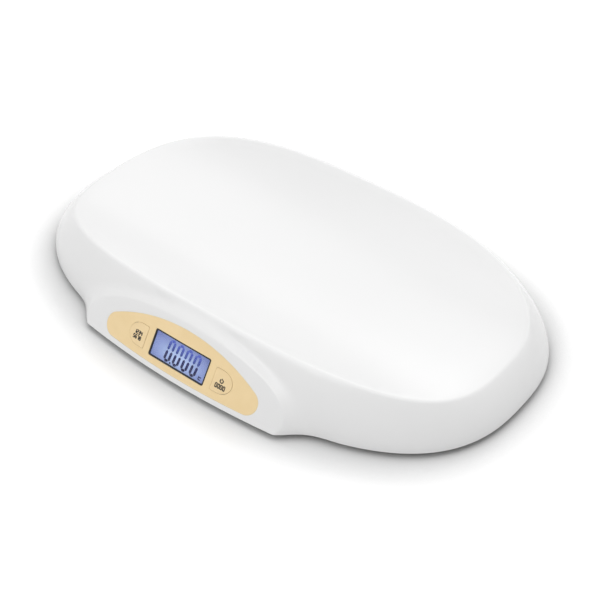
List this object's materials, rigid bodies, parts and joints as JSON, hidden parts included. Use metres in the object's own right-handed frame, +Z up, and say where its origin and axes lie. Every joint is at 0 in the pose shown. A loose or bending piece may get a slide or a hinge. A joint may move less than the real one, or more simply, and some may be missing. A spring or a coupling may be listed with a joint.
{
  "type": "baby weighing scale",
  "caption": "Digital baby weighing scale: cradle-shaped oval tray with raised sides on load-cell feet, tilted console with a lit display between two D-shaped keys.",
  "frame": {"origin": "on the floor under the middle of the footprint", "axes": "+X along the tray to its right end as the console is read, -Y towards the console's reader, +Z up"},
  "size_m": [0.55, 0.3428, 0.0632],
  "materials": {
    "shell_white": "glossy injection-moulded white",
    "base_white": "fine-textured white",
    "overlay_cream": "satin printed film",
    "bezel_dark": "satin black",
    "window_clear": "clear",
    "display_blue": "back-lit liquid-crystal cell",
    "light_guide": "translucent acrylic",
    "holder_white": "plain moulded",
    "strip_grey": "striped elastomer",
    "board_green": "solder mask",
    "resin_black": "cast resin",
    "socket_cream": "plain moulded",
    "capacitor_can": "sleeved can",
    "key_cream": "satin",
    "switch_black": "plain moulded",
    "screw_steel": "zinc plated",
    "contact_nickel": "nickel plated",
    "foot_white": "fine-textured white",
    "pad_rubber": "matt",
    "cell_steel": "ground",
    "battery_wrap": "plain sleeve"
  },
  "bodies": {
    "housing": {"top_housing": "shell_white", "base_plate": "base_white", "console_overlay": "overlay_cream", "display_bezel": "bezel_dark", "display_window": "window_clear", "display_glass": "display_blue", "display_backlight": "light_guide", "display_holder": "holder_white", "zebra_strip": "strip_grey", "main_board": "board_green", "controller_chip": "resin_black", "lead_sockets": "socket_cream", "board_capacitors": "capacitor_can", "zero_switch": "switch_black", "hold_switch": "switch_black", "housing_screws": "screw_steel", "board_screws": "screw_steel", "cell_screws": "screw_steel", "contact_plates": "contact_nickel", "contact_springs": "contact_nickel", "load_cell_front_left": "cell_steel", "cell_cap_front_left": "holder_white", "load_cell_front_right": "cell_steel", "cell_cap_front_right": "holder_white", "load_cell_back_left": "cell_steel", "cell_cap_back_left": "holder_white", "load_cell_back_right": "cell_steel", "cell_cap_back_right": "holder_white", "battery_1": "battery_wrap", "battery_2": "battery_wrap", "battery_3": "battery_wrap", "battery_4": "battery_wrap"},
    "zero_button": {"zero_key": "key_cream", "zero_plunger": "switch_black"},
    "hold_button": {"hold_key": "key_cream", "hold_plunger": "switch_black"},
    "battery_door": {"battery_door": "base_white"},
    "foot_front_left": {"foot_front_left": "foot_white", "foot_pad_front_left": "pad_rubber"},
    "foot_front_right": {"foot_front_right": "foot_white", "foot_pad_front_right": "pad_rubber"},
    "foot_back_left": {"foot_back_left": "foot_white", "foot_pad_back_left": "pad_rubber"},
    "foot_back_right": {"foot_back_right": "foot_white", "foot_pad_back_right": "pad_rubber"}
  },
  "joints": [
    {"name": "zero_key_press", "type": "slide", "parent": "housing", "child": "zero_button", "axis": [0, 0.8387, -0.5446], "range_m": [0, 0.0006], "stiffness_N_per_m": 2500, "springref_m": -0.0002},
    {"name": "hold_key_press", "type": "slide", "parent": "housing", "child": "hold_button", "axis": [0, 0.8387, -0.5446], "range_m": [0, 0.0006], "stiffness_N_per_m": 2500, "springref_m": -0.0002},
    {"name": "battery_door_slide", "type": "slide", "parent": "housing", "child": "battery_door", "axis": [0, 1, 0], "range_m": [0, 0.012]},
    {"name": "foot_front_left_travel", "type": "slide", "parent": "housing", "child": "foot_front_left", "axis": [0, 0, 1], "range_m": [-0.0008, 0]},
    {"name": "foot_front_right_travel", "type": "slide", "parent": "housing", "child": "foot_front_right", "axis": [0, 0, 1], "range_m": [-0.0008, 0]},
    {"name": "foot_back_left_travel", "type": "slide", "parent": "housing", "child": "foot_back_left", "axis": [0, 0, 1], "range_m": [-0.0008, 0]},
    {"name": "foot_back_right_travel", "type": "slide", "parent": "housing", "child": "foot_back_right", "axis": [0, 0, 1], "range_m": [-0.0008, 0]}
  ]
}
